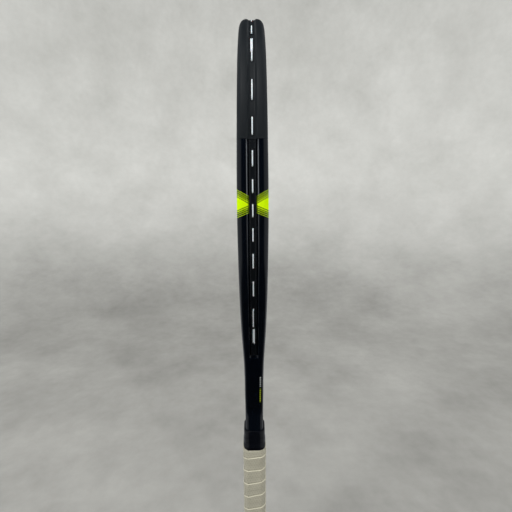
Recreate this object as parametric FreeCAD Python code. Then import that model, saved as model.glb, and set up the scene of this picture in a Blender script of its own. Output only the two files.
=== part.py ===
import FreeCAD, Part
import math
import os

os.makedirs("parts", exist_ok=True)

# Adult graphite tennis racket, millimetres. It stands on its butt end with the tip up:
# the origin is the middle of the butt end, +Z runs to the tip, X is the width of the hoop
# and Y is the thickness of the beam (the direction in which a ball is hit).

V = FreeCAD.Vector

# ---- overall frame -----------------------------------------------------------------
TIP_Z = 685.0                 # overall length, bumper guard included
HOOP_CENTRE_Z = 508.0
HOOP_HALF_WIDTH = 132.0
HOOP_HALF_LENGTH = 176.4      # outside of the tube, under the bumper guard
TUBE_DEPTH = 11.3             # in the plane of the hoop
WALL = 1.6
OUTER_CORNER = 4.4            # corner radius of the tube on the outside of the racket
HOOP_STEPS = 24               # straight pieces in each half of the hoop
SHAFT_SLOPE = 0.574           # sideways growth of each shaft for one unit of height
NECK_HALF_WIDTH = 13.0
NECK_BEND = 30.0
NECK_THICK = 21.9
HAIRPIN_HALF_WIDTH = 12.0     # the two shafts inside the handle
HAIRPIN_THICK = 18.5
HAIRPIN_END_Z = 6.0

# beam thickness along the racket: (height, thickness)
BEAM = [(270.0, 21.9), (298.0, 21.4), (320.0, 21.7), (341.0, 23.0), (362.0, 24.4), (385.0, 25.4),
        (413.0, 25.9), (445.0, 26.3), (480.0, 26.6), (510.0, 26.4), (545.0, 25.9), (595.0, 25.4),
        (626.0, 25.1), (648.0, 24.5), (668.0, 23.8), (685.0, 23.3)]

# ---- string channel, grommet strips and bumper guard -----------------------------------
CHANNEL_DEPTH = 2.6
CHANNEL_HALF = 4.9            # at the surface; the walls of the channel slope in
CHANNEL_FLOOR_HALF = 3.3
CHANNEL_END_Z = 332.5
STRIP_HALF = 3.0
STRIP_LOW = -2.5              # measured from the outside of the tube
STRIP_HIGH = -1.8
BUMPER_END_Z = 545.6
BUMPER_GAP = 0.4
HOLE_R, BARREL_R, BORE_R = 1.95, 1.7, 1.1
WIDE_HOLE_R, WIDE_BARREL_R, WIDE_BORE_R = 2.6, 2.35, 1.8

# ---- throat bridge -------------------------------------------------------------------
BRIDGE_HALF_LENGTH = 177.0    # the throat side follows this ellipse
BRIDGE_DEPTH = 11.0
BRIDGE_THICK = 20.4

# ---- strings ---------------------------------------------------------------------------
STRING_R = 0.65
STRING_LEVEL = -0.8           # string axis in the channel, from the outside of the tube
MAINS = [5.4, 16.3, 27.3, 38.4, 49.4, 60.3, 72.6, 87.0]
CROSS_COUNT = 19
FIRST_CROSS_Z = 638.6         # where the cross nearest the tip comes out, then the steps down
CROSS_STEPS = [24.0, 18.4, 17.4, 15.2, 14.2, 13.3, 12.2, 11.2, 10.4, 9.9, 9.9, 10.1, 10.8, 11.6,
               12.6, 13.6, 14.4, 15.0]
WEAVE = 1.78                  # height of the zigzag that goes over and under the mains
SIDE_BY_SIDE = 0.87           # two strings in one channel or one hole lie this far off centre
LEAN = 0.3                    # how far each hole leans from square to the tube to the string
TOP_LEANS = {5: -0.1, 6: 0.15, 7: -0.1}       # the three outermost mains at the tip end
BOTTOM_LEANS = {6: 0.85, 7: 1.0}  # the two outermost mains at the throat end
LAST_CROSS_LEAN = -0.2
BRIDGE_LEAN = 0.8             # the holes of the bridge run nearly along their mains

# ---- handle ------------------------------------------------------------------------------
PALLET = (14.0, 11.5)         # half width, half thickness
PALLET_Z = (3.0, 178.0)
CAP_TOP_Z = 30.0
CAP_LIP = (19.4, 17.5)
BASE_GRIP_THICK = 1.7
OVERGRIP_THICK = 0.9
GRIP_Z = (6.0, 189.4)
COLLAR_Z = (190.0, 215.2)


def mirrored(shape):
    return shape.mirror(V(0, 0, 0), V(1, 0, 0))


def both_sides(shape):
    """A half built on the +X side joined to its mirror image."""
    return shape.fuse(mirrored(shape)).removeSplitter()


def beam_thickness(z):
    """Smooth curve through the beam table."""
    if z <= BEAM[0][0]:
        return BEAM[0][1]
    for i in range(len(BEAM) - 1):
        z0, t0 = BEAM[i]
        z1, t1 = BEAM[i + 1]
        if z <= z1:
            before = BEAM[max(i - 1, 0)]
            after = BEAM[min(i + 2, len(BEAM) - 1)]
            k = (z - z0) / (z1 - z0)
            m0 = (t1 - before[1]) / (z1 - before[0]) * (z1 - z0)
            m1 = (after[1] - t0) / (after[0] - z0) * (z1 - z0)
            return ((2 * k**3 - 3 * k**2 + 1) * t0 + (k**3 - 2 * k**2 + k) * m0
                    + (3 * k**2 - 2 * k**3) * t1 + (k**3 - k**2) * m1)
    return BEAM[-1][1]


def smooth(k):
    k = min(max(k, 0.0), 1.0)
    return k * k * (3 - 2 * k)


# ---- outline of the outside of the tube, +X side ------------------------------------------
SHAFT_ANGLE = math.atan(SHAFT_SLOPE)
HOOP_END_T = -math.atan(SHAFT_SLOPE * HOOP_HALF_LENGTH / HOOP_HALF_WIDTH)


class Station:
    """A place on the outline: a point, the way out of the tube, and the section there."""

    def __init__(self, x, z, nx, nz, thick=None, depth=TUBE_DEPTH):
        self.x, self.z, self.nx, self.nz = x, z, nx, nz
        self.thick = thick or beam_thickness(z)
        self.depth = depth

    def at(self, u, v):
        return V(self.x + u * self.nx, v, self.z + u * self.nz)


def ellipse_station(t, half_width, half_length, **more):
    nx, nz = math.cos(t) / half_width, math.sin(t) / half_length
    size = math.hypot(nx, nz)
    x = half_width * math.cos(t)
    z = HOOP_CENTRE_Z + half_length * math.sin(t)
    return Station(x, z, nx / size, nz / size, **more)


def hoop_station(t):
    return ellipse_station(t, HOOP_HALF_WIDTH, HOOP_HALF_LENGTH)


HOOP_END = hoop_station(HOOP_END_T)


def shaft_station(z):
    """On the straight shaft below the hoop."""
    x = HOOP_END.x - SHAFT_SLOPE * (HOOP_END.z - z)
    return Station(x, z, math.cos(SHAFT_ANGLE), -math.sin(SHAFT_ANGLE))


NECK_BEND_X = NECK_HALF_WIDTH + NECK_BEND * (1 - math.cos(SHAFT_ANGLE))
NECK_BEND_TOP_Z = HOOP_END.z - (HOOP_END.x - NECK_BEND_X) / SHAFT_SLOPE
NECK_TOP_Z = NECK_BEND_TOP_Z - NECK_BEND * math.sin(SHAFT_ANGLE)


def outline_at(z):
    """Station of the outside of the hoop or shaft at a height below the widest place or above it."""
    if z >= HOOP_END.z:
        sine = (z - HOOP_CENTRE_Z) / HOOP_HALF_LENGTH
        return hoop_station(math.asin(min(sine + 1e-12, 1.0)))
    return shaft_station(z)


def tube_stations():
    places = []
    steps = HOOP_STEPS
    for i in range(steps + 1):
        t = math.radians(90) + (HOOP_END_T - math.radians(90)) * i / steps
        places.append(hoop_station(t))
    for z in (382.0, 362.0, 344.0, 324.0, 304.0, 286.0, 268.0):
        places.append(shaft_station(z))
    for i in range(5):
        a = SHAFT_ANGLE * (1 - i / 4)
        x = NECK_HALF_WIDTH + NECK_BEND * (1 - math.cos(a))
        z = NECK_TOP_Z + NECK_BEND * math.sin(a)
        places.append(Station(x, z, math.cos(a), -math.sin(a)))
    for z in (222.0, 206.0, 190.0):
        places.append(Station(NECK_HALF_WIDTH, z, 1, 0))
    for z in (179.0, 168.0, 150.0, 78.0, HAIRPIN_END_Z):
        k = smooth((190.0 - z) / 22.0)
        x = NECK_HALF_WIDTH + (HAIRPIN_HALF_WIDTH - NECK_HALF_WIDTH) * k
        places.append(Station(x, z, 1, 0, NECK_THICK + (HAIRPIN_THICK - NECK_THICK) * k))
    return places


def box_wire(place, low, high, half, r_high, r_low):
    """Rounded box section between two levels, with one corner radius outside and one inside."""
    c = math.sqrt(0.5)

    def arc(u, v, r, su, sv):
        cu, cv = u - su * r, v - sv * r
        first = place.at(cu + su * r, cv)
        middle = place.at(cu + su * r * c, cv + sv * r * c)
        last = place.at(cu, cv + sv * r)
        return first, middle, last

    a = arc(high, half, r_high, 1, 1)
    b = arc(low, half, r_low, -1, 1)
    d = arc(low, -half, r_low, -1, -1)
    e = arc(high, -half, r_high, 1, -1)
    edges = [Part.makeLine(e[0], a[0]), Part.Arc(a[0], a[1], a[2]).toShape(),
             Part.makeLine(a[2], b[2]), Part.Arc(b[2], b[1], b[0]).toShape(),
             Part.makeLine(b[0], d[0]), Part.Arc(d[0], d[1], d[2]).toShape(),
             Part.makeLine(d[2], e[2]), Part.Arc(e[2], e[1], e[0]).toShape()]
    return Part.Wire(edges)


def polygon_wire(place, points):
    corners = [place.at(u, v) for u, v in points]
    return Part.makePolygon(corners + corners[:1])


def inside_depth(place):
    """Depth of the tube at a station: the shafts widen into each other where they meet."""
    swell = TUBE_DEPTH + 6.0 * smooth((286.0 - place.z) / 40.0)
    return min((place.x + 0.6) / place.nx, swell)


def tube_envelope():
    wires = []
    for place in tube_stations():
        depth = inside_depth(place)
        inner_r = 4.6 - 3.8 * smooth((300.0 - place.z) / 50.0)
        wires.append(box_wire(place, -depth, 0.0, place.thick / 2, OUTER_CORNER, inner_r))
    half = Part.makeLoft(wires, True, True)
    return half.common(Part.makeBox(300, 60, 800, V(0, -30, -20)))


def tube_cavity():
    wires = []
    for place in tube_stations():
        k = smooth((place.z - 306.0) / 20.0)
        high = -(WALL + CHANNEL_DEPTH * k)
        low = WALL - inside_depth(place)
        if place.z < 320.0:
            low = max(low, (1.0 - place.x) / place.nx)
        wires.append(box_wire(place, low, high, place.thick / 2 - WALL, 1.6, 1.6))
    half = Part.makeLoft(wires, True, True)
    mouth = wires[-1].copy()
    mouth.translate(V(0, 0, -3))
    return half.fuse(Part.makeLoft([wires[-1], mouth], True, True))


def channel_stations(z_top, z_end):
    """The stations of the tube between two heights, with one more at each of the two heights."""
    between = [p for p in tube_stations() if z_end + 1.0 < p.z < z_top - 0.3]
    return [outline_at(z_top)] + between + [outline_at(z_end)]


def channel_cutter():
    top_half = CHANNEL_HALF + (CHANNEL_HALF - CHANNEL_FLOOR_HALF) * 4.0 / CHANNEL_DEPTH
    points = [(-CHANNEL_DEPTH, -CHANNEL_FLOOR_HALF), (-CHANNEL_DEPTH, CHANNEL_FLOOR_HALF),
              (4.0, top_half), (4.0, -top_half)]
    places = channel_stations(HOOP_CENTRE_Z + HOOP_HALF_LENGTH, CHANNEL_END_Z)
    return Part.makeLoft([polygon_wire(p, points) for p in places], True, True)


# ---- where the strings run -----------------------------------------------------------------
class Hole:
    """A string hole. bend is where the string turns inside the hoop, place is where it lies in
    the channel, out points straight away from the tube there."""

    def __init__(self, bend, mouth, place, out, wide=False):
        self.bend, self.place, self.out, self.wide = bend, place, out, wide
        self.way = (place - bend).normalize()
        self.mouth = mouth

    def cylinder(self, radius, start, end):
        """Round bar along the hole from start millimetres past the bend to end past the strip."""
        first = self.bend + self.way * start
        length = (self.place - first).Length + end
        return Part.makeCylinder(radius, length, first, self.way)

    def flipped(self):
        def other(p):
            return V(-p.x, p.y, p.z)
        return Hole(other(self.bend), other(self.mouth), other(self.place), other(self.out),
                    self.wide)


def hole_on(station, depth, string_angle, wide=False, lean_part=LEAN):
    """Hole from a station on the outside in to the hoop, leaning a little towards the string."""
    normal_angle = math.atan2(station.nz, station.nx)
    lean = lean_part * (string_angle - normal_angle)
    way = V(math.cos(normal_angle + lean), 0, math.sin(normal_angle + lean))
    place = station.at(STRING_LEVEL, 0)
    bend = place - way * ((depth + STRING_LEVEL + 2.4) / math.cos(lean))
    mouth = place - way * ((depth + STRING_LEVEL) / math.cos(lean))
    return Hole(bend, mouth, place, V(station.nx, 0, station.nz), wide)


def solve(wanted, low, high, measure):
    """Bisect for the input between low and high whose measure is the one wanted."""
    rising = measure(high) > measure(low)
    for _ in range(60):
        middle = (low + high) / 2
        if (measure(middle) < wanted) == rising:
            low = middle
        else:
            high = middle
    return (low + high) / 2


def top_main_hole(i):
    up = math.radians(90)
    x = MAINS[i]

    def made(t):
        return hole_on(hoop_station(t), TUBE_DEPTH, up, x > 70, TOP_LEANS.get(i, LEAN))

    t = solve(x, math.radians(10), up, lambda t: made(t).bend.x)
    return made(t)


def bridge_station(t):
    return ellipse_station(t, HOOP_HALF_WIDTH, BRIDGE_HALF_LENGTH, thick=BRIDGE_THICK,
                           depth=BRIDGE_DEPTH)


def bottom_main_hole(i):
    """The six inner mains pass the bridge; the two outer ones come out in the side channel."""
    down = math.radians(-90)
    x = MAINS[i]

    def made(t):
        return hole_on(bridge_station(t), BRIDGE_DEPTH, down, False, BOTTOM_LEANS.get(i, BRIDGE_LEAN))

    t = solve(x, down, math.radians(-20), lambda t: made(t).bend.x)
    through_bridge = made(t)
    if x < 70:
        return through_bridge
    way, bend = through_bridge.way, through_bridge.bend

    def off_line(s):
        p = bend + way * s
        return p.x - shaft_station(p.z).at(STRING_LEVEL / math.cos(SHAFT_ANGLE), 0).x

    place = bend + way * solve(0.0, 0.0, 60.0, off_line)
    foot = shaft_station(place.z)
    return Hole(bend, through_bridge.mouth, place, V(foot.nx, 0, foot.nz), wide=True)


def cross_z(i):
    """Height at which cross string i (0 at the tip end) comes out in the channel."""
    return FIRST_CROSS_Z - sum(CROSS_STEPS[:i])


def cross_hole(i):
    lean = LAST_CROSS_LEAN if i == CROSS_COUNT - 1 else LEAN
    return hole_on(outline_at(cross_z(i)), TUBE_DEPTH, 0.0, i == 0, lean)


TOP = [top_main_hole(i) for i in range(len(MAINS))]
BOTTOM = [bottom_main_hole(i) for i in range(len(MAINS))]
CROSS = [cross_hole(i) for i in range(CROSS_COUNT)]


def round_cord(points, bends, radius):
    """Solid round string along a line with rounded corners, made of cylinders and torus pieces."""
    direction = (points[1] - points[0]).normalize()
    profile = Part.Circle(points[0], direction, radius).toShape()
    faces = [Part.Face(Part.Wire([profile.copy()]))]
    here = points[0]
    for i in range(1, len(points)):
        ahead = points[i] - here
        onward = None
        cut = 0.0
        if i + 1 < len(points):
            leg = points[i + 1] - points[i]
            onward = V(leg).normalize()
            turn = direction.getAngle(onward)
            if turn > 1e-4:
                room = 0.48 * min((points[i] - points[i - 1]).Length, leg.Length)
                bend = min(bends[i], room / math.tan(turn / 2))
                cut = bend * math.tan(turn / 2)
        step = direction * (ahead.Length - cut)
        faces.append(profile.extrude(step))
        profile = profile.translated(step)
        here = here + step
        if cut:
            axis = direction.cross(onward).normalize()
            centre = here + axis.cross(direction) * bend
            faces.append(profile.revolve(centre, axis, math.degrees(turn)))
            profile = profile.copy()
            profile.rotate(centre, axis, math.degrees(turn))
            here = points[i] + onward * cut
            direction = onward
    faces.append(Part.Face(Part.Wire([profile.copy()])))
    skin = Part.makeCompound(faces)
    skin.sewShape(1e-4)
    solid = Part.Solid(skin.Shells[0])
    if solid.Volume < 0:
        solid.reverse()
    return solid


class Route:
    """Points of a string with the bend radius wanted at each."""

    def __init__(self):
        self.points, self.bends = [], []

    def to(self, point, bend=2.0):
        self.points.append(V(point))
        self.bends.append(bend)

    def solid(self):
        return round_cord(self.points, self.bends, STRING_R)


def shifted(point, y):
    return V(point.x, y, point.z)


def along_channel(route, start, end, side, y_start, y_end, y_run, on_bridge=False):
    """Lay the string in the channel from one hole to the next, bending out of and into the tube."""
    route.to(shifted(start.place, y_start), 1.5)
    a, b = start.place, end.place
    gap = (b - a).Length
    steps = max(int(round(gap / 9.0)), 1)
    marks = [2.9 / gap] if y_run != y_start else []
    marks += [i / steps for i in range(1, steps)]
    marks += [1 - 2.9 / gap] if y_run != y_end else []
    for k in marks:
        middle = a + (b - a) * k
        route.to(shifted(on_channel(middle, side, on_bridge), y_run), 8.0)
    route.to(shifted(end.place, y_end), 1.5)


def on_channel(point, side, on_bridge):
    """The nearest place for a string in the channel to a point on a chord of it."""
    x, z = point.x * side, point.z
    if on_bridge or (z > HOOP_END.z):
        length = BRIDGE_HALF_LENGTH if on_bridge else HOOP_HALF_LENGTH
        t = math.atan2((z - HOOP_CENTRE_Z) / length, x / HOOP_HALF_WIDTH)
        p = ellipse_station(t, HOOP_HALF_WIDTH, length).at(STRING_LEVEL, 0)
    else:
        foot = shaft_station(z)
        off = (x - foot.x) * foot.nx
        p = V(x, 0, z) + V(foot.nx, 0, foot.nz) * (STRING_LEVEL - off)
    return V(p.x * side, 0, p.z)


def knot(route, centre, axis, sideways, first):
    """Finish a string with a turn around the string it is tied to, whose axis passes centre."""
    other = axis.cross(sideways)
    turn = STRING_R * 2 + 0.25
    for i in range(10):
        a = first + math.pi / 4 * i
        reach = turn / math.cos(math.pi / 8)
        across = sideways * (math.cos(a) * reach) + other * (math.sin(a) * reach)
        route.to(centre + axis * (1.65 * i / 8) + across, 1.2)


def hole_of(holes, i, side):
    return holes[i] if side > 0 else holes[i].flipped()


def main_ends(side, i):
    """Where main i leaves the plane of the strings near its holes: (top, bottom) y offsets.

    It does so only where it shares a hole or the channel with another string."""
    if side > 0:
        return (-SIDE_BY_SIDE if i == 7 else 0.0), (SIDE_BY_SIDE if i > 5 else 0.0)
    return (SIDE_BY_SIDE if i > 5 else 0.0), 0.0


def main_run(route, side, i, downwards):
    """One main string between its bends, leaning aside at an end only where a hole is shared."""
    x = MAINS[i] * side
    y_top, y_bottom = main_ends(side, i)
    top, bottom = TOP[i].bend.z, BOTTOM[i].bend.z
    run = [V(x, y_top, top)]
    if y_top:
        run.append(V(x, y_top, top - 4.2))
        run.append(V(x, 0, top - 11.0))
    if y_bottom:
        run.append(V(x, 0, bottom + 11.0))
        run.append(V(x, y_bottom, bottom + 4.2))
    run.append(V(x, y_bottom, bottom))
    for p in (run if downwards else reversed(run)):
        route.to(p, 2.6)


def main_string():
    """One string: eight mains on each side, the middle pair joined at the tip."""
    def half(route, side):
        for i in range(8):
            main_run(route, side, i, downwards=i % 2 == 0)
            if i == 7:
                break
            holes = BOTTOM if i % 2 == 0 else TOP
            start, end = hole_of(holes, i, side), hole_of(holes, i + 1, side)
            k = 1 if i % 2 == 0 else 0
            ys, ye = main_ends(side, i)[k], main_ends(side, i + 1)[k]
            in_bridge = i % 2 == 0 and i < 6
            along_channel(route, start, end, side, ys, ye, max(ys, ye), in_bridge)

    def tail(route, side):
        """From the outermost main up the channel, in beside the first cross, tied to the seventh."""
        y = -SIDE_BY_SIDE * side
        start, end = hole_of(TOP, 7, side), hole_of(CROSS, 0, side)
        along_channel(route, start, end, side, y, y, y)
        route.to(shifted(end.bend, y), 2.0)
        tied_at = V(MAINS[6] * side, 0.0 if side > 0 else 0.55, end.bend.z - 1.9)
        knot(route, tied_at, V(0, 0, -1), V(0, -side, 0), -0.35)

    left, middle, right = Route(), Route(), Route()
    for route, side in ((left, -1), (right, 1)):
        half(route, side)
        tail(route, side)
    along_channel(middle, TOP[0].flipped(), TOP[0], 1, 0, 0, 0)
    whole = Route()
    whole.points = left.points[::-1] + middle.points + right.points
    whole.bends = left.bends[::-1] + middle.bends + right.bends
    return whole


def cross_string():
    """One string woven over and under the mains from the tip end to the throat end."""
    route = Route()
    columns = sorted([-x for x in MAINS] + MAINS)
    # starting knot: tied to the seventh main on the -X side, in through its hole and out again
    y = -SIDE_BY_SIDE
    start = TOP[6].flipped()
    lead = Route()
    down = V(0, 0, -1)
    knot(lead, shifted(start.bend, -y) + down * 1.6, down, V(0, -1, 0), 0.35)
    lead.points.reverse()
    lead.bends.reverse()
    route.points, route.bends = lead.points, lead.bends
    route.to(shifted(start.bend, y), 2.0)
    along_channel(route, start, CROSS[0].flipped(), -1, y, y, y)
    for i in range(CROSS_COUNT):
        side = 1 if i % 2 == 0 else -1
        z = CROSS[i].bend.z
        offset = SIDE_BY_SIDE if i == 0 else 0.0
        first, last = hole_of(CROSS, i, -side), hole_of(CROSS, i, side)
        route.to(shifted(first.bend, -offset), 2.6)
        inside = [x for x in columns if abs(x) < CROSS[i].bend.x - 2.5]
        for x in (inside if side > 0 else reversed(inside)):
            k = columns.index(x)
            over = 1 if (i + k) % 2 == 0 else -1
            route.to(V(x, over * WEAVE, z), 5.0)
        route.to(shifted(last.bend, offset), 2.6)
        if i + 1 < CROSS_COUNT:
            along_channel(route, last, hole_of(CROSS, i + 1, side), side, offset, 0.0, offset)
    # finishing tail: down the channel on the +X side, in beside the seventh main, tied to it
    last, end = CROSS[-1], BOTTOM[6]
    along_channel(route, last, end, 1, 0, y, y)
    route.to(shifted(end.bend, y), 2.0)
    up = V(0, 0, 1)
    knot(route, shifted(end.bend, -y) + up * 1.6, up, V(0, -1, 0), 0.35)
    return route


def bar(hole, normal_r, wide_r, start, end):
    return hole.cylinder(wide_r if hole.wide else normal_r, start, end)


def frame_tube(envelope):
    half = envelope.cut(tube_cavity()).cut(channel_cutter())
    holes = TOP + BOTTOM[6:] + CROSS
    half = half.cut([bar(h, HOLE_R, WIDE_HOLE_R, -3.0, 6.0) for h in holes])
    return both_sides(half)


def bridge_half(low, high, half, radius, t_end):
    wires = []
    steps = 8
    down = math.radians(-90)
    for i in range(steps + 1):
        place = bridge_station(down + (math.radians(t_end) - down) * i / steps)
        wires.append(box_wire(place, low, high, half, radius, radius))
    return Part.makeLoft(wires, True, True)


def throat_bridge(envelope):
    solid = bridge_half(-BRIDGE_DEPTH, 0.0, BRIDGE_THICK / 2, 4.2, -36.0)
    hollow = bridge_half(-BRIDGE_DEPTH + WALL, -CHANNEL_DEPTH - WALL, BRIDGE_THICK / 2 - WALL,
                         1.5, -60.5)
    down = math.radians(-90)
    end = math.radians(-58)
    points = [(-CHANNEL_DEPTH, -3.7), (-CHANNEL_DEPTH, 3.7), (3.0, 4.2), (3.0, -4.2)]
    places = [bridge_station(down + (end - down) * i / 6) for i in range(7)]
    groove = Part.makeLoft([polygon_wire(p, points) for p in places], True, True)
    half = solid.cut(hollow).cut(groove)
    half = half.common(Part.makeBox(86.0, 60, 200, V(0, -30, 300)))
    half = half.cut(envelope)
    half = half.cut([bar(h, HOLE_R, WIDE_HOLE_R, -3.0, 6.0) for h in BOTTOM])
    pieces = sorted(half.Solids, key=lambda s: s.Volume)
    return both_sides(pieces[-1])


def barrels(strip, holes, mouth_high):
    """Join the grommet barrels to a strip and bore them all."""
    strip = strip.fuse([barrel(h) for h in holes])
    return strip.cut([bar(h, BORE_R, WIDE_BORE_R, -2.0, mouth_high) for h in holes])


def barrel(h):
    """Barrel of one hole; a wide one that leans far over is cut off inside the strip."""
    radius = WIDE_BARREL_R if h.wide else BARREL_R
    first = h.mouth - h.way * 1.0
    reach = (h.place - first).Length + (STRIP_LOW - STRING_LEVEL) + 0.35
    body = Part.makeCylinder(radius, reach, first, h.way)
    if not h.wide or h.way.dot(h.out) > 0.97:
        return body
    above = h.place + h.out * (STRIP_HIGH - 0.1 - STRING_LEVEL)
    return body.cut(Part.makeCylinder(6.0, 6.0, above, h.out))


def bumper_guard():
    """Guard over the tip: a base in the channel and a thin wing over each outer face of the tube."""
    wires = []
    places = channel_stations(HOOP_CENTRE_Z + HOOP_HALF_LENGTH, BUMPER_END_Z)
    for p in places:
        rise = TIP_Z - HOOP_CENTRE_Z - HOOP_HALF_LENGTH
        h = p.thick / 2
        points = [(STRIP_LOW, 0), (STRIP_LOW, 3.1), (0.08, 4.6), (0.08, h - 4.4), (-0.12, h - 3.1),
                  (-0.45, h - 2.2), (-0.25, h - 1.9), (0.25, h - 2.9), (rise - 0.06, h - 4.4),
                  (rise, 4.7), (rise - 0.2, 4.2), (STRIP_HIGH + 0.4, 2.9), (STRIP_HIGH, 2.6),
                  (STRIP_HIGH, 0)]
        other = [(u, -v) for u, v in reversed(points[1:-1])]
        wires.append(polygon_wire(p, points + other))
    half = Part.makeLoft(wires, True, True)
    holes = [h for h in TOP + CROSS if h.place.z > BUMPER_END_Z]
    half = barrels(half, holes, 6.0)
    return both_sides(half)


def grommet_strip(side):
    points = [(STRIP_LOW, -STRIP_HALF), (STRIP_LOW, STRIP_HALF), (-1.2, STRIP_HALF),
              (-1.2, STRIP_HALF - 0.5), (STRIP_HIGH, STRIP_HALF - 0.9),
              (STRIP_HIGH, -STRIP_HALF + 0.9), (-1.2, -STRIP_HALF + 0.5), (-1.2, -STRIP_HALF)]
    places = channel_stations(BUMPER_END_Z - BUMPER_GAP, CHANNEL_END_Z + 1.2)
    strip = Part.makeLoft([polygon_wire(p, points) for p in places], True, True)
    # four small round studs at the top end of the strip
    studs = []
    for z in (543.5, 538.6):
        place = outline_at(z)
        for v in (-1.75, 1.75):
            way = V(place.nx, 0, place.nz)
            studs.append(Part.makeCylinder(0.75, 0.9, place.at(-2.1, v), way))
    # and a small rounded bar at its lower end
    low, high = shaft_station(CHANNEL_END_Z + 1.7), shaft_station(CHANNEL_END_Z + 7.3)
    along = high.at(STRIP_HIGH, 0) - low.at(STRIP_HIGH, 0)
    studs.append(Part.makeCylinder(0.6, along.Length, low.at(STRIP_HIGH, 0), along))
    strip = strip.fuse(studs)
    holes = [h for h in CROSS + BOTTOM[6:] if h.place.z < BUMPER_END_Z]
    strip = barrels(strip, holes, 6.0)
    return strip if side > 0 else mirrored(strip)


def throat_grommet_strip():
    down = math.radians(-90)
    end = math.radians(-60.6)
    points = [(STRIP_LOW, -3.3), (STRIP_LOW, 3.3), (-1.2, 3.3), (-1.2, 2.6), (STRIP_HIGH, 2.2),
              (STRIP_HIGH, -2.2), (-1.2, -2.6), (-1.2, -3.3)]
    places = [bridge_station(down + (end - down) * i / 6) for i in range(7)]
    half = Part.makeLoft([polygon_wire(p, points) for p in places], True, True)
    return both_sides(barrels(half, BOTTOM[:6], 6.0))


# ---- handle ----------------------------------------------------------------------------------
def octagon(z, half_x, half_y, bevel=0.34):
    """Handle section: eight flats, the bevels a set part of the half thickness."""
    c = half_y * bevel * 1.1
    d = half_y * bevel
    points = [(half_x, half_y - d - 0.6), (half_x - c, half_y), (c - half_x, half_y),
              (-half_x, half_y - d - 0.6), (-half_x, d + 0.6 - half_y), (c - half_x, -half_y),
              (half_x - c, -half_y), (half_x, d + 0.6 - half_y)]
    corners = [V(x, y, z) for x, y in points]
    return Part.makePolygon(corners + corners[:1])


def grown(sections, by):
    return [(z, hx + by, hy + by) for z, hx, hy in sections]


def octagon_loft(sections):
    return Part.makeLoft([octagon(*s) for s in sections], True, True)


CAP_OUTSIDE = [(5.6, 16.4, 14.3), (11.0, 16.1, 13.9), (20.0, 15.3, 12.9), (CAP_TOP_Z, 14.75, 12.3)]


def rounded_box(half_x, half_y, radius, z0, z1):
    box = Part.makeBox(2 * half_x, 2 * half_y, z1 - z0, V(-half_x, -half_y, z0))
    upright = [e for e in box.Edges if abs(e.tangentAt(e.FirstParameter).z) > 0.9]
    return box.makeFillet(radius, upright)


def handle_hole():
    """Room for the hairpin inside the pallet and the cap, with a glue gap."""
    gap = 0.2
    low = rounded_box(HAIRPIN_HALF_WIDTH + gap, HAIRPIN_THICK / 2 + gap, 3.7, -1.0, 168.3)
    places = [Station(HAIRPIN_HALF_WIDTH + gap, 160.0, 1, 0, HAIRPIN_THICK + 2 * gap)]
    for z in (168.0, 173.5, 179.0, 184.5, 190.0):
        k = smooth((190.0 - z) / 22.0)
        x = NECK_HALF_WIDTH + (HAIRPIN_HALF_WIDTH - NECK_HALF_WIDTH) * k + gap + 0.1
        thick = NECK_THICK + (HAIRPIN_THICK - NECK_THICK) * k + 2 * gap + 0.2
        places.append(Station(x, z, 1, 0, thick))
    wires = [box_wire(p, -2 * p.x, 0, p.thick / 2, 3.7, 3.7) for p in places]
    return low.fuse(Part.makeLoft(wires, True, True))


def staple(z, hx_crown, y_face, side, leg):
    """Wire staple: crown across X at a height, two legs into the handle along Y."""
    r = 0.45
    crown = Part.makeCylinder(r, 2 * hx_crown, V(-hx_crown, side * y_face, z), V(1, 0, 0))
    legs = []
    for x in (-hx_crown, hx_crown):
        legs.append(Part.makeCylinder(r, leg, V(x, side * y_face, z), V(0, -side, 0)))
        legs.append(Part.makeSphere(r, V(x, side * y_face, z)))
    return crown.fuse(legs).removeSplitter()


def staple_room(z, hx_crown, y_face, side, leg, gap=0.12):
    r = 0.45 + gap
    crown = Part.makeCylinder(r, 2 * hx_crown, V(-hx_crown, side * y_face, z), V(1, 0, 0))
    slot = Part.makeBox(2 * hx_crown + 2 * r, 3.0, 2 * r,
                        V(-hx_crown - r, side * y_face - (0 if side > 0 else 3.0), z - r))
    legs = []
    for x in (-hx_crown, hx_crown):
        legs.append(Part.makeCylinder(r, leg + gap, V(x, side * y_face, z), V(0, -side, 0)))
        legs.append(Part.makeSphere(r, V(x, side * y_face, z)))
    return crown.fuse([slot] + legs)


CAP_STAPLES = [(24.0, 3.4, 12.0, 1, 1.6), (24.0, 3.4, 12.0, -1, 1.6)]
GRIP_STAPLE = (14.5, 3.0, 14.75, 1, 2.2)


def handle_pallet():
    sections = [(PALLET_Z[0], *PALLET), (PALLET_Z[1], *PALLET)]
    body = octagon_loft(sections).cut(handle_hole())
    return body.cut([staple_room(*s) for s in CAP_STAPLES])


def foam_plug(side):
    """Foam filling of one shaft inside the handle."""
    gap = 0.15
    low_x, high_x = 1.0 + gap, HAIRPIN_HALF_WIDTH - WALL - gap
    half_y = HAIRPIN_THICK / 2 - WALL - gap
    box = Part.makeBox(high_x - low_x, 2 * half_y, 140.0, V(low_x, -half_y, 9.0))
    upright = [e for e in box.Edges if abs(e.tangentAt(e.FirstParameter).z) > 0.9]
    plug = box.makeFillet(1.6, upright)
    return plug if side > 0 else mirrored(plug)


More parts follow.
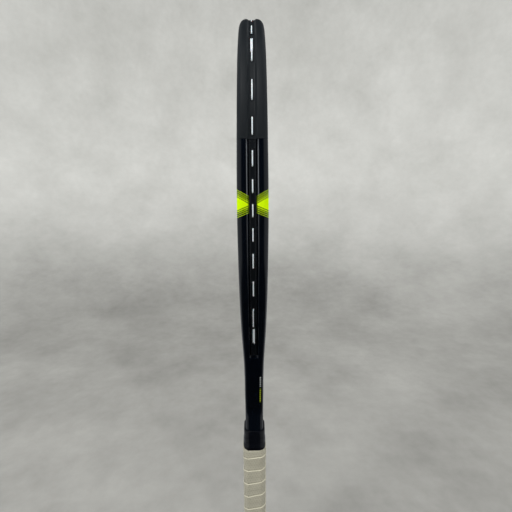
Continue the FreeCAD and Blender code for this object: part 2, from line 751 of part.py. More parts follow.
def butt_cap():
    """Moulded cap over the lower end of the pallet, with a flared lip."""
    lip = octagon_loft([(0.0, CAP_LIP[0] - 1.3, CAP_LIP[1] - 1.3), (1.3, *CAP_LIP),
                        (4.3, *CAP_LIP), (5.6, CAP_LIP[0] - 1.2, CAP_LIP[1] - 1.2)])
    flare = octagon_loft(CAP_OUTSIDE)
    inside = octagon_loft([(2.6, PALLET[0] + 0.2, PALLET[1] + 0.2),
                           (CAP_TOP_Z + 1, PALLET[0] + 0.2, PALLET[1] + 0.2)])
    recess = Part.makeCylinder(10.4, 1.2, V(0, 0, 0))
    cap = lip.fuse(flare).cut(inside).cut(recess)
    cap = cap.cut([staple_room(*s) for s in CAP_STAPLES] + [staple_room(*GRIP_STAPLE)])
    return cap.removeSplitter()


def butt_cap_badge():
    disc = Part.makeCylinder(10.15, 0.9, V(0, 0, 0.2))
    return disc.makeFillet(0.3, [disc.Edges[2]])


def grip_inside():
    flare = grown([(GRIP_Z[0], 16.4, 14.28)] + CAP_OUTSIDE[1:], 0.06)
    return flare + [(CAP_TOP_Z + 1.5, PALLET[0] + 0.06, PALLET[1] + 0.06),
                    (174.0, PALLET[0] + 0.06, PALLET[1] + 0.06),
                    (180.0, PALLET[0] + 0.5, PALLET[1] + 0.5),
                    (GRIP_Z[1], PALLET[0] + 0.5, PALLET[1] + 0.5)]


def extended(sections):
    """The same sections carried a little past both ends, to cut cleanly."""
    first, last = sections[0], sections[-1]
    return [(first[0] - 1, first[1], first[2])] + sections + [(last[0] + 1, last[1], last[2])]


def base_grip():
    inside = grip_inside()
    outside = grown(inside, BASE_GRIP_THICK)
    sleeve = octagon_loft(outside).cut(octagon_loft(extended(inside)))
    return sleeve.cut(staple_room(*GRIP_STAPLE))


def overgrip():
    """Thin tape wound over the base grip, as a sleeve of its mean thickness."""
    inside = grown(grip_inside(), BASE_GRIP_THICK + 0.06)
    outside = grown(inside, OVERGRIP_THICK)
    return octagon_loft(outside).cut(octagon_loft(extended(inside)))


def neck_ring(z0, z1, inner_gap, thick):
    """Band of tape around the neck."""
    outer = rounded_box(NECK_HALF_WIDTH + inner_gap + thick, NECK_THICK / 2 + inner_gap + thick,
                        3.6 + inner_gap + thick, z0, z1)
    inner = rounded_box(NECK_HALF_WIDTH + inner_gap, NECK_THICK / 2 + inner_gap,
                        3.6 + inner_gap, z0 - 1, z1 + 1)
    return outer.cut(inner)


def rubber_collar():
    """Rubber ring over the top end of the grip: a bead, a band with ridges, a groove and a lip."""
    z0, z1 = COLLAR_Z
    x0, y0 = NECK_HALF_WIDTH, NECK_THICK / 2
    profile = [(0.0, 1.9), (0.7, 2.4), (1.8, 2.75), (3.4, 3.0), (5.0, 3.0), (6.6, 2.65), (8.0, 2.15),
               (9.4, 1.95), (10.6, 2.1), (13.8, 2.1), (14.4, 1.7), (15.2, 1.7), (15.8, 2.1),
               (20.5, 2.05), (23.2, 2.1), (24.4, 1.95), (z1 - z0, 1.5)]
    wires = []
    for dz, out in profile:
        place = Station(x0 + out, z0 + dz, 1, 0, 2 * (y0 + out))
        wires.append(box_wire(place, -2 * (x0 + out), 0, y0 + out, 3.6 + out, 3.6 + out))
    body = Part.makeLoft(wires, True, True)
    lower = rounded_box(x0 + 1.05, y0 + 1.05, 4.6, z0 - 1, z0 + 11.0)
    upper = rounded_box(x0 + 0.36, y0 + 0.36, 3.9, z0 - 1, z1 + 1)
    return body.cut(lower).cut(upper)


def save(name, shape):
    if not shape.isValid():
        print("not valid:", name)
    print(name, "solids", len(shape.Solids), "faces", len(shape.Faces),
          "volume", round(shape.Volume, 1))
    shape.exportStep("parts/" + name + ".step")


envelope = tube_envelope()
save("frame_tube", frame_tube(envelope))
save("throat_bridge", throat_bridge(envelope))
save("bumper_guard", bumper_guard())
save("grommet_strip_left", grommet_strip(-1))
save("grommet_strip_right", grommet_strip(1))
save("throat_grommet_strip", throat_grommet_strip())
save("main_string", main_string().solid())
save("cross_string", cross_string().solid())
save("handle_pallet", handle_pallet())
save("handle_foam_left", foam_plug(-1))
save("handle_foam_right", foam_plug(1))
save("butt_cap", butt_cap())
save("butt_cap_badge", butt_cap_badge())
save("butt_cap_staples", Part.makeCompound([staple(*s) for s in CAP_STAPLES]))
save("base_grip", base_grip())
save("base_grip_staple", staple(*GRIP_STAPLE))
save("base_grip_tape", neck_ring(189.8, 199.0, 0.05, 0.25))
save("overgrip", overgrip())
save("overgrip_tape", neck_ring(189.8, 198.0, 0.35, 0.25))
save("rubber_collar", rubber_collar())
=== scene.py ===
import math

import bmesh
import bpy
import numpy as np
from mathutils import Matrix, Vector


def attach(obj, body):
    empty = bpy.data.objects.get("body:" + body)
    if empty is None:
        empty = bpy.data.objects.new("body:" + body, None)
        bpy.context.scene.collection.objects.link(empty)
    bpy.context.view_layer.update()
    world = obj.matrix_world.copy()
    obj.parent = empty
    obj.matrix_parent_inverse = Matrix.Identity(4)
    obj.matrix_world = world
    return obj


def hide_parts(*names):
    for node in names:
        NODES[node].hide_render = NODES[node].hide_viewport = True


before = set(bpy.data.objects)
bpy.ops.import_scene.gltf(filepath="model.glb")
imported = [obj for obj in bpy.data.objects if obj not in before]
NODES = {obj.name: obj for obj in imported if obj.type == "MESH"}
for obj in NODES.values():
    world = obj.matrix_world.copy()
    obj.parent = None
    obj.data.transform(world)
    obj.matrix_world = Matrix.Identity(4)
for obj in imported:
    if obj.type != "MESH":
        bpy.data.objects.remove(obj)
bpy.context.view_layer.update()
MM = 0.001

# ---- sizes of the racket, millimetres -------------------------------------------------------
CENTRE_Z, HALF_W, HALF_L = 508.0, 132.0, 176.4      # ellipse of the hoop
DEPTH = 11.3            # of the tube, from the outside to the inside of the hoop
SLOPE = 0.574           # of the shafts, x over z
NECK_W, NECK_BEND, NECK_T = 13.0, 30.0, 21.9
# thickness of the tube at each height
BEAM = [(270.0, 21.9), (298.0, 21.4), (320.0, 21.7), (341.0, 23.0), (362.0, 24.4), (385.0, 25.4),
        (413.0, 25.9), (445.0, 26.3), (480.0, 26.6), (510.0, 26.4), (545.0, 25.9), (595.0, 25.4),
        (626.0, 25.1), (648.0, 24.5), (668.0, 23.8), (685.0, 23.3)]
CHANNEL, CHANNEL_HALF, CHANNEL_FLOOR, CHANNEL_END = 2.6, 4.9, 3.3, 332.5
BUMPER_END, STRIP_TOP = 545.6, 545.2
STRIP_SEAT, STRIP_UNDER = -1.8, -2.5
BEND_IN = 2.4           # from the inner face of the hoop to where a string turns
CLEAR = 2.5             # strings that meet nearer than this to a hole are not woven
BRIDGE_L, BRIDGE_T, BRIDGE_D = 177.0, 20.4, 11.0
STRING_R, LEVEL = 0.56, -0.8        # LEVEL: axis of the strings outside the tube
MAINS = [5.4, 16.3, 27.3, 38.4, 49.4, 60.3, 72.6, 87.0]
CROSS_STEPS = [24.0, 18.4, 17.4, 15.2, 14.2, 13.3, 12.2, 11.2, 10.4, 9.9, 9.9, 10.1, 10.8, 11.6,
               12.6, 13.6, 14.4, 15.0]
CROSSES = 19
FIRST_CROSS_Z = 638.6
LEAN = 0.3              # how far each hole leans from square to the tube to the string
TOP_LEANS = {5: -0.1, 6: 0.15, 7: -0.1}
LOW_LEANS = {6: 0.85, 7: 1.0}
BRIDGE_LEAN, LAST_CROSS_LEAN = 0.8, -0.2
PAIR = 0.56             # two strings in one channel or hole lie this far off centre
ANGLE = math.atan(SLOPE)
END_T = -math.atan(SLOPE * HALF_L / HALF_W)


def smooth(k):
    k = min(max(k, 0.0), 1.0)
    return k * k * (3 - 2 * k)


def beam(z):
    if z <= BEAM[0][0]:
        return BEAM[0][1]
    for i in range(len(BEAM) - 1):
        (z0, t0), (z1, t1) = BEAM[i], BEAM[i + 1]
        if z <= z1:
            a, b = BEAM[max(i - 1, 0)], BEAM[min(i + 2, len(BEAM) - 1)]
            k = (z - z0) / (z1 - z0)
            m0 = (t1 - a[1]) / (z1 - a[0]) * (z1 - z0)
            m1 = (b[1] - t0) / (b[0] - z0) * (z1 - z0)
            return ((2 * k**3 - 3 * k**2 + 1) * t0 + (k**3 - 2 * k**2 + k) * m0
                    + (3 * k**2 - 2 * k**3) * t1 + (k**3 - k**2) * m1)
    return BEAM[-1][1]


# ---- outline of the tube: (x, z, nx, nz), n pointing out of the racket ----------------------
def ellipse(t, half_l=HALF_L):
    nx, nz = math.cos(t) / HALF_W, math.sin(t) / half_l
    s = math.hypot(nx, nz)
    return HALF_W * math.cos(t), CENTRE_Z + half_l * math.sin(t), nx / s, nz / s


END = ellipse(END_T)


def shaft(z):
    return END[0] - SLOPE * (END[1] - z), z, math.cos(ANGLE), -math.sin(ANGLE)


BEND_X = NECK_W + NECK_BEND * (1 - math.cos(ANGLE))
BEND_TOP = END[1] - (END[0] - BEND_X) / SLOPE
NECK_TOP = BEND_TOP - NECK_BEND * math.sin(ANGLE)


def outline(z):
    if z >= END[1]:
        return ellipse(math.asin(min((z - CENTRE_Z) / HALF_L, 1.0)))
    if z >= BEND_TOP:
        return shaft(z)
    if z > NECK_TOP:
        a = math.asin((z - NECK_TOP) / NECK_BEND)
        return NECK_W + NECK_BEND * (1 - math.cos(a)), z, math.cos(a), -math.sin(a)
    k = smooth((190.0 - z) / 22.0)
    return NECK_W - k, z, 1.0, 0.0


def point(place, u, v):
    x, z, nx, nz = place
    return (x + u * nx, v, z + u * nz)


def flip(place):
    return -place[0], place[1], -place[2], place[3]


def both(places):
    """The +X half from its low end over the middle to the low end of the -X half."""
    low_first = list(reversed(places))
    return low_first + [flip(p) for p in places[1:]]


# ---- mesh helpers ---------------------------------------------------------------------------
def mesh_object(name, verts, faces, uvs=None):
    mesh = bpy.data.meshes.new(name)
    mesh.from_pydata([tuple(c * MM for c in v) for v in verts], [], faces)
    if uvs is not None:
        layer = mesh.uv_layers.new(name="wrap")
        for loop in mesh.loops:
            layer.data[loop.index].uv = uvs[loop.vertex_index]
    mesh.validate()
    mesh.update()
    obj = bpy.data.objects.new(name, mesh)
    bpy.context.scene.collection.objects.link(obj)
    mesh.shade_smooth()
    return obj


def skin(name, places, section, caps=True):
    """Sweep a closed section, a function of the place giving (u, v) points, along the places."""
    verts, faces = [], []
    rings = [section(p) for p in places]
    n = len(rings[0])
    for place, ring in zip(places, rings):
        verts += [point(place, u, v) for u, v in ring]
    for i in range(len(places) - 1):
        for j in range(n):
            k = (j + 1) % n
            faces.append((i * n + j, i * n + k, (i + 1) * n + k, (i + 1) * n + j))
    if caps:
        faces.append(tuple(range(n - 1, -1, -1)))
        faces.append(tuple((len(places) - 1) * n + j for j in range(n)))
    obj = mesh_object(name, verts, faces)
    tidy_normals(obj)
    return obj


def tidy_normals(obj):
    b = bmesh.new()
    b.from_mesh(obj.data)
    bmesh.ops.recalc_face_normals(b, faces=b.faces)
    b.to_mesh(obj.data)
    b.free()
    obj.data.set_sharp_from_angle(angle=math.radians(50))


def corner(u, v, r, start, count=6):
    """Rounded corner with its centre at (u, v): a quarter turn from the angle start."""
    return [(u + r * math.cos(math.radians(start + 90 * i / count)),
             v + r * math.sin(math.radians(start + 90 * i / count))) for i in range(count + 1)]


def mirrored_ring(half):
    """Half a section from v = 0 outside, round to v = 0 inside, and its mirror image."""
    back = [(u, -v) for u, v in reversed(half[1:-1])]
    return half + back


def outer_corner(z):
    """Radius of the rounding outside, larger near the tip."""
    return 4.4 + 1.9 * smooth((z - 652.0) / 24.0)


def tube_section(place):
    z = place[1]
    hv = (beam(z) if z > 190 else NECK_T) / 2
    r_in = 4.6 - 4.2 * smooth((300.0 - z) / 50.0)
    swell = DEPTH + 6.0 * smooth((286.0 - z) / 40.0)
    # where the two shafts come together, each one ends at the middle plane
    to_middle = (abs(place[0]) + 0.1) / max(abs(place[2]), 1e-9)
    d = swell if place[2] * place[0] > 60 or z > 320 else min(to_middle, swell)
    c = smooth((z - CHANNEL_END + 1.5) / 3.0)
    deep = CHANNEL * c
    wall = (CHANNEL_HALF - CHANNEL_FLOOR) / CHANNEL
    half = [(-deep, 0.0), (-deep, 1.8), (-deep, CHANNEL_FLOOR - 0.35),
            (-deep + 0.07 * c, CHANNEL_FLOOR - 0.08), (-deep + 0.3 * c, CHANNEL_FLOOR + 0.3 * wall),
            (-deep * 0.55, CHANNEL_HALF - wall * 1.45)]
    half += [(-0.62 * c, CHANNEL_HALF - 0.46), (-0.40 * c, CHANNEL_HALF - 0.30),
             (-0.21 * c, CHANNEL_HALF - 0.08), (-0.08 * c, CHANNEL_HALF + 0.20),
             (-0.02 * c, CHANNEL_HALF + 0.45), (0.0, CHANNEL_HALF + 0.75)]
    r = outer_corner(z)
    half += [(0.0, (CHANNEL_HALF + hv - r) / 2 + 0.4)]
    half += corner(-r, hv - r, r, 0, 8)
    half += [(-r - (d - r - r_in) * 0.5, hv + 0.02)]
    half += [(-d + r_in + r_in * math.cos(math.radians(a)), hv - r_in + r_in * math.sin(math.radians(a)))
             for a in (90, 101, 112, 124, 135, 146, 158, 169, 180)]
    half += [(-d, (hv - r_in) * 0.5), (-d, 0.0)]
    return mirrored_ring(half)


def hoop_places(low_z, steps=150):
    t_end = END_T if low_z < END[1] else math.asin((low_z - CENTRE_Z) / HALF_L)
    up = math.radians(90)
    return [ellipse(up + (t_end - up) * i / steps) for i in range(steps + 1)]


def tube_places():
    places = hoop_places(0)
    for i in range(1, 20):
        places.append(shaft(END[1] + (CHANNEL_END + 6 - END[1]) * i / 19))
    # close together where the channel runs out
    for dz in (3, 1.5, 0.8, 0.2, -0.4, -1.0, -1.8, -3):
        places.append(shaft(CHANNEL_END + dz))
    for i in range(1, 31):
        places.append(shaft(CHANNEL_END - 3 + (BEND_TOP - CHANNEL_END + 3) * i / 30))
    for i in range(1, 15):
        places.append(outline(BEND_TOP + (NECK_TOP - BEND_TOP) * i / 14))
    for z in (228, 220, 205, 192, 186):
        places.append(outline(z))
    return places


def bumper_section(place):
    """Base in the channel, raised towards the tip, and a thin wing over the rounding of the tube."""
    z = place[1]
    hv, r = beam(z) / 2, outer_corner(z)
    rise = 0.22 + 0.36 * smooth((z - 674.0) / 10.0)
    k = smooth((z - 660.0) / 12.0)

    def around_corner(radius, a):
        t = math.radians(a)
        return -r + radius * math.cos(t), hv - r + radius * math.sin(t)

    base = STRIP_SEAT + k
    half = [(base, 0.0), (base, 0.9), (base - 0.05 * k, 1.5), (base + 0.06 - 0.1 * k, 2.55),
            (-1.5 + 0.8 * k, 2.85), (rise - 0.5, 3.95 - 0.3 * k), (rise - 0.22, 4.25 - 0.4 * k),
            (rise - 0.05, 4.6 - 0.4 * k), (rise, 5.0 - 0.4 * k), (rise, (5.0 + hv - r) / 2)]
    half += [around_corner(r + rise * (1 - 0.8 * a / 60), a) for a in range(0, 61, 6)]
    half += [around_corner(r + 0.02, 62), around_corner(r - 0.25, 58),
             (-0.2, hv - r), (-0.2, 5.2), (-2.3, 3.5), (STRIP_UNDER, 3.2), (STRIP_UNDER, 0.0)]
    return mirrored_ring(half)


def strip_section(place):
    """Flat strip with a low raised edge on each side."""
    half = [(STRIP_SEAT, 0.0), (STRIP_SEAT, 1.7), (-1.74, 2.0), (-1.55, 2.2), (-1.28, 2.38),
            (-1.2, 2.55), (-1.2, 2.8), (-1.27, 2.97), (STRIP_UNDER, 3.0), (STRIP_UNDER, 0.0)]
    return mirrored_ring(half)


def strip_places():
    t_top = math.asin((STRIP_TOP - CENTRE_Z) / HALF_L)
    places = [ellipse(t_top + (END_T - t_top) * i / 70) for i in range(71)]
    places += [shaft(END[1] + (CHANNEL_END + 1.2 - END[1]) * i / 20) for i in range(1, 21)]
    return places


def bridge_section(place):
    hv, r, d = BRIDGE_T / 2, 4.2, BRIDGE_D
    c = smooth((70.5 - abs(place[0])) / 2.0)
    deep = CHANNEL * c
    half = [(-deep, 0.0), (-deep, 2.0), (-deep, 3.5), (-deep + 0.3 * c, 3.7), (-0.3 * c, 3.7),
            (-0.08 * c, 3.8), (0.0, 4.05)]
    half += corner(-r, hv - r, r, 0, 7)
    half += [(-d + r + r * math.cos(math.radians(a)), hv - r + r * math.sin(math.radians(a)))
             for a in (90, 105, 120, 135, 150, 165, 180)]
    half += [(-d, 0.0)]
    return mirrored_ring(half)


def bridge_places(end_angle, steps):
    """Places along the bridge from its middle out to the end angle, in degrees."""
    return [ellipse(math.radians(-90 + (end_angle + 90) * i / steps), BRIDGE_L) for i in range(steps + 1)]


# ---- string holes and routes ----------------------------------------------------------------
def vec(place, u):
    return np.array(point(place, u, 0.0))


class Hole:
    """bend: where the string turns inside the hoop; mouth: inner face; place: in the channel."""

    def __init__(self, bend, mouth, place, wide=False):
        self.bend, self.mouth, self.place, self.wide = bend, mouth, place, wide
        way = place - bend
        self.way = way / np.linalg.norm(way)

    def flipped(self):
        f = np.array([-1.0, 1.0, 1.0])
        return Hole(self.bend * f, self.mouth * f, self.place * f, self.wide)


def hole_on(place, depth, string_angle, wide=False, lean_part=LEAN):
    normal = math.atan2(place[3], place[2])
    lean = lean_part * (string_angle - normal)
    way = np.array([math.cos(normal + lean), 0, math.sin(normal + lean)])
    out = vec(place, LEVEL)
    bend = out - way * (depth + LEVEL + BEND_IN) / math.cos(lean)
    mouth = out - way * (depth + LEVEL) / math.cos(lean)
    return Hole(bend, mouth, out, wide)


def solve(wanted, low, high, measure):
    rising = measure(high) > measure(low)
    for _ in range(60):
        middle = (low + high) / 2
        if (measure(middle) < wanted) == rising:
            low = middle
        else:
            high = middle
    return (low + high) / 2


def top_hole(i):
    up = math.radians(90)

    def made(t):
        return hole_on(ellipse(t), DEPTH, up, i > 5, TOP_LEANS.get(i, LEAN))

    return made(solve(MAINS[i], math.radians(10), up, lambda t: made(t).bend[0]))


def bottom_hole(i):
    down = math.radians(-90)

    def made(t):
        return hole_on(ellipse(t, BRIDGE_L), BRIDGE_D, down, False, LOW_LEANS.get(i, BRIDGE_LEAN))

    h = made(solve(MAINS[i], down, math.radians(-20), lambda t: made(t).bend[0]))
    if i < 6:
        return h

    def off(s):
        p = h.bend + h.way * s
        return p[0] - point(shaft(p[2]), LEVEL / math.cos(ANGLE), 0)[0]

    return Hole(h.bend, h.mouth, h.bend + h.way * solve(0.0, 0.0, 60.0, off), True)


def cross_hole(i):
    z = FIRST_CROSS_Z - sum(CROSS_STEPS[:i])
    return hole_on(outline(z), DEPTH, 0.0, i == 0, LAST_CROSS_LEAN if i == CROSSES - 1 else LEAN)


TOP = [top_hole(i) for i in range(8)]
BOTTOM = [bottom_hole(i) for i in range(8)]
CROSS = [cross_hole(i) for i in range(CROSSES)]


def side_of(holes, i, side):
    return holes[i] if side > 0 else holes[i].flipped()


def at_y(p, y):
    return np.array([p[0], y, p[2]])


def rounded(points, bends):
    """Points along a line whose corners are rounded to the bend radii given."""
    out = [points[0]]
    for i in range(1, len(points) - 1):
        a, b = points[i - 1] - points[i], points[i + 1] - points[i]
        la, lb = np.linalg.norm(a), np.linalg.norm(b)
        if la < 1e-6 or lb < 1e-6:
            continue
        a, b = a / la, b / lb
        turn = math.pi - math.acos(max(-1.0, min(1.0, float(a @ b))))
        if turn < 1e-3 or bends[i] <= 0:
            out.append(points[i])
            continue
        cut = min(bends[i] * math.tan(turn / 2), 0.48 * min(la, lb))
        steps = max(2, int(math.degrees(turn) / 9))
        first, last = points[i] + a * cut, points[i] + b * cut
        for k in range(steps + 1):
            s = k / steps
            out.append(first * (1 - s)**2 + points[i] * 2 * s * (1 - s) + last * s**2)
    out.append(points[-1])
    return out


class Route:
    def __init__(self):
        self.points, self.bends = [], []

    def to(self, p, bend=2.0):
        self.points.append(np.array(p, float))
        self.bends.append(bend)

    def reverse(self):
        self.points.reverse()
        self.bends.reverse()

    def add(self, other):
        self.points += other.points
        self.bends += other.bends


def on_channel(p, side, bridge, level=LEVEL):
    """The point nearest to p at the given level over the outline of the tube or bridge."""
    x, z = p[0] * side, p[2]
    if bridge or z > END[1]:
        half = BRIDGE_L if bridge else HALF_L
        t = math.atan2((z - CENTRE_Z) / half, x / HALF_W)
        q = point(ellipse(t, half), level, 0)
    else:
        foot = shaft(z)
        off = (x - foot[0]) * foot[2]
        q = (x + foot[2] * (level - off), 0, z + foot[3] * (level - off))
    return np.array([q[0] * side, 0, q[2]])


def channel_run(route, start, end, side, y0, y1, y_run, bridge=False, wave=0.0, level=LEVEL, settle=2.0):
    """The string outside the tube from one hole to the next; past settle (0 to 1) it nears y = 0."""
    a, b = start.place, end.place
    route.to(at_y(a, y0), 1.5)
    gap = np.linalg.norm(b - a)
    steps = max(int(round(gap / 4.0)), 1)
    marks = [2.9 / gap] if y_run != y0 else []
    marks += [i / steps for i in range(1, steps) if 3.2 / gap < i / steps < 1 - 3.2 / gap]
    marks += [1 - 2.9 / gap] if y_run != y1 else []
    for k in marks:
        shift = wave * math.sin(k * math.pi * 2)
        y = y_run * (1.0 - smooth((k - settle) / 0.2)) + shift
        route.to(at_y(on_channel(a + (b - a) * k, side, bridge, level), y), 6.0)
    route.to(at_y(b, y1), 1.5)


def knot(route, centre, axis, sideways, first=0.35):
    """A turn and a bit around another string, then a short end."""
    other = np.cross(axis, sideways)
    per_turn, pitch, reach = 16, 1.4, 1.38
    for i in range(22):
        a = first + 2 * math.pi / per_turn * i
        across = sideways * math.cos(a) + other * math.sin(a)
        route.to(centre + axis * (pitch * i / per_turn) + across * reach, 0)
    route.to(centre + axis * 2.6 + across * 2.4, 0.5)


def weave_sign(i, k):
    """Which side of main k (0 to 15 from -X) cross i passes."""
    return 1 if (i + k) % 2 == 0 else -1


# how far mains and crosses swing out of the plane of the strings where they pass
CROSS_AWAY, MAIN_AWAY = 0.74, 0.58


def main_ends(side, i):
    """Where main i leaves the plane of the strings at its holes: (top, bottom) y offsets."""
    if side > 0:
        return (-PAIR if i == 7 else 0.0), (PAIR if i > 5 else 0.0)
    return (PAIR if i > 5 else 0.0), 0.0


def main_run(route, side, i, downwards):
    x = MAINS[i] * side
    column = 8 + i if side > 0 else 7 - i
    y_top, y_low = main_ends(side, i)
    top, low = TOP[i].bend[2], BOTTOM[i].bend[2]
    stops = [(top, y_top)]
    for c in range(CROSSES):
        z = CROSS[c].bend[2]
        if low + 4 < z < top - 4 and CROSS[c].bend[0] > abs(x) + CLEAR:
            stops.append((z, -weave_sign(c, column) * MAIN_AWAY))
    stops.append((low, y_low))
    run = []
    for (z0, a), (z1, b) in zip(stops, stops[1:]):
        steps = 6 if abs(z0 - z1) < 25 else 12
        for s in range(steps):
            k = s / steps
            run.append((x, a + (b - a) * (1 - math.cos(math.pi * k)) / 2, z0 + (z1 - z0) * k))
    run.append((x, y_low, low))
    ends = {0: 2.6, len(run) - 1: 2.6}
    order = range(len(run)) if downwards else reversed(range(len(run)))
    for j in order:
        route.to(run[j], ends.get(j, 0.0))


def main_string():
    def half(side):
        route = Route()
        for i in range(8):
            main_run(route, side, i, i % 2 == 0)
            if i == 7:
                break
            low = i % 2 == 0
            holes = BOTTOM if low else TOP
            k = 1 if low else 0
            ys, ye = main_ends(side, i)[k], main_ends(side, i + 1)[k]
            start, end = side_of(holes, i, side), side_of(holes, i + 1, side)
            over = low and i == 6 and side > 0
            channel_run(route, start, end, side, ys, ye, 0.5 if over else max(ys, ye), low and i < 6,
                        level=-0.2 if over else LEVEL)
        y = -PAIR * side
        start, end = side_of(TOP, 7, side), side_of(CROSS, 0, side)
        channel_run(route, start, end, side, y, y, y, wave=0.1)
        route.to(at_y(end.bend, y), 2.0)
        tied_at = np.array([MAINS[6] * side, 0.0 if side > 0 else 0.45, end.bend[2] - 1.9])
        knot(route, tied_at, np.array([0, 0, -1.0]), np.array([0, -1.0 * side, 0]), -0.35)
        return route

    left, right = half(-1), half(1)
    left.reverse()
    middle = Route()
    channel_run(middle, TOP[0].flipped(), TOP[0], 1, 0, 0, 0)
    left.add(middle)
    left.add(right)
    return left


def cross_string():
    route = Route()
    down, up = np.array([0, 0, -1.0]), np.array([0, 0, 1.0])
    front = np.array([0, -1.0, 0])
    start = TOP[6].flipped()
    knot(route, at_y(start.bend, PAIR) + down * 1.6, down, front)
    route.reverse()
    route.to(at_y(start.bend, -PAIR), 2.0)
    channel_run(route, start, CROSS[0].flipped(), -1, -PAIR, -PAIR, -PAIR)
    columns = sorted([-x for x in MAINS] + MAINS)
    for i in range(CROSSES):
        side = 1 if i % 2 == 0 else -1
        z = CROSS[i].bend[2]
        edge = CROSS[i].bend[0]
        aside = PAIR if i == 0 else 0.0
        stops = [(-side * edge, -aside)]
        for x in (columns if side > 0 else reversed(columns)):
            if abs(x) < edge - CLEAR:
                stops.append((x, weave_sign(i, columns.index(x)) * CROSS_AWAY))
        stops.append((side * edge, aside))
        for j, ((x0, a), (x1, b)) in enumerate(zip(stops, stops[1:])):
            steps = 8 if j in (0, len(stops) - 2) else 6
            for s in range(steps):
                k = s / steps
                y = a + (b - a) * (1 - math.cos(math.pi * k)) / 2
                route.to((x0 + (x1 - x0) * k, y, z), 2.6 if j == 0 and s == 0 else 0.0)
        route.to((side * edge, aside, z), 2.6)
        if i + 1 < CROSSES:
            channel_run(route, side_of(CROSS, i, side), side_of(CROSS, i + 1, side), side,
                        aside, 0.0, aside, settle=0.45, wave=-0.1 if i == 0 else 0.0)
    end = BOTTOM[6]
    channel_run(route, CROSS[-1], end, 1, 0, -PAIR, -0.42, wave=0.12, level=-1.14)
    route.to(at_y(end.bend, -PAIR), 2.0)
    knot(route, at_y(end.bend, PAIR) + up * 1.6, up, front)
    return route


def cord_mesh(name, route, radius, sides=12):
    """Round string as a mesh, its rings carried along without twisting."""
    nearest = 0.12
    pts = rounded(route.points, route.bends)
    keep = [pts[0]]
    for p in pts[1:]:
        if np.linalg.norm(p - keep[-1]) > nearest:
            keep.append(p)
    pts = np.array(keep)
    tangents = np.gradient(pts, axis=0)
    tangents /= np.linalg.norm(tangents, axis=1)[:, None]
    side = np.cross(tangents[0], [0.3, 0.9, 0.1])
    side /= np.linalg.norm(side)
    verts, faces = [], []
    turns = np.linspace(0, 2 * math.pi, sides, endpoint=False)
    for i, (p, t) in enumerate(zip(pts, tangents)):
        side = side - t * (side @ t)
        side /= np.linalg.norm(side)
        other = np.cross(t, side)
        ring = p + radius * (np.cos(turns)[:, None] * side + np.sin(turns)[:, None] * other)
        verts += [tuple(v) for v in ring]
        if i:
            a, b = (i - 1) * sides, i * sides
            for j in range(sides):
                k = (j + 1) % sides
                faces.append((a + j, a + k, b + k, b + j))
    faces.append(tuple(range(sides - 1, -1, -1)))
    faces.append(tuple(len(verts) - sides + j for j in range(sides)))
    return mesh_object(name, verts, faces)


def tube_mesh(rings, sides=20):
    """Verts and faces of a turned piece: rings are (centre, axis, radius), joined in order."""
    verts, faces = [], []
    for centre, axis, radius in rings:
        side = np.cross(axis, [0, 1.0, 0])
        side /= np.linalg.norm(side)
        other = np.cross(axis, side)
        for a in np.linspace(0, 2 * math.pi, sides, endpoint=False):
            verts.append(tuple(centre + radius * (math.cos(a) * side + math.sin(a) * other)))
    for i in range(len(rings) - 1):
        for j in range(sides):
            k = (j + 1) % sides
            faces.append((i * sides + j, i * sides + k, (i + 1) * sides + k, (i + 1) * sides + j))
    return verts, faces


def eyelets(name, holes):
    """Grommet barrels: a rounded collar in the channel and one inside the hoop, for each hole."""
    verts, faces = [], []

    def add(rings):
        v, f = tube_mesh(rings)
        base = len(verts)
        verts.extend(v)
        faces.extend(tuple(base + i for i in face) for face in f)

    for h in holes:
        outer, bore = (2.45, 1.72) if h.wide else (1.75, 1.02)      # radii of the barrel
        w = h.way
        c = h.place - w * 0.86
        add([(c - w * 6, w, bore * 0.9), (c - w * 0.6, w, bore), (c + w * 0.05, w, bore + 0.1),
             (c + w * 0.14, w, bore + 0.3), (c + w * 0.05, w, outer - 0.1), (c - w * 0.5, w, outer)])
        m = h.mouth
        add([(m + w * 2.0, w, outer), (m - w * 0.7, w, outer), (m - w * 0.98, w, outer - 0.12),
             (m - w * 1.05, w, outer - 0.35), (m - w * 1.0, w, bore + 0.08), (m - w * 0.8, w, bore),
             (m + w * 4.0, w, bore * 0.9)])
    return mesh_object(name, verts, faces)


def studs(name, side):
    """Four round studs near the top of a side strip and a small rounded bar at its lower end."""
    verts, faces = [], []

    def dome(centre, long_way, normal, half_long, radius, height):
        wide = np.cross(normal, long_way)
        base = len(verts)
        n = 20
        for ring in range(6):
            a = math.pi / 2 * ring / 6
            for j in range(n):
                t = 2 * math.pi * j / n
                along = radius * math.cos(a) * math.cos(t) + half_long * (1 if math.cos(t) > 0 else -1)
                verts.append(tuple(centre + long_way * along + wide * radius * math.cos(a) * math.sin(t)
                                   + normal * height * math.sin(a)))
        for ring in range(5):
            for j in range(n):
                k = (j + 1) % n
                b = base + ring * n
                faces.append((b + j, b + k, b + n + k, b + n + j))
        faces.append(tuple(base + 5 * n + j for j in range(n)))

    # height on the racket, distance off centre, half of the straight part, radius, height
    spots = [(z, v, 0.0, 0.75, 0.62) for z in (543.5, 538.6) for v in (1.75, -1.75)]
    spots.append((337.0, 0.0, 2.2, 0.6, 0.6))
    for z, v, half_long, radius, height in spots:
        place = outline(z)
        if side < 0:
            place = flip(place)
        normal = np.array([place[2], 0.0, place[3]])
        along = np.array([-place[3], 0.0, place[2]])
        dome(np.array(point(place, STRIP_SEAT - 0.02, v)), along, normal, half_long, radius, height)
    obj = mesh_object(name, verts, faces)
    tidy_normals(obj)
    return obj


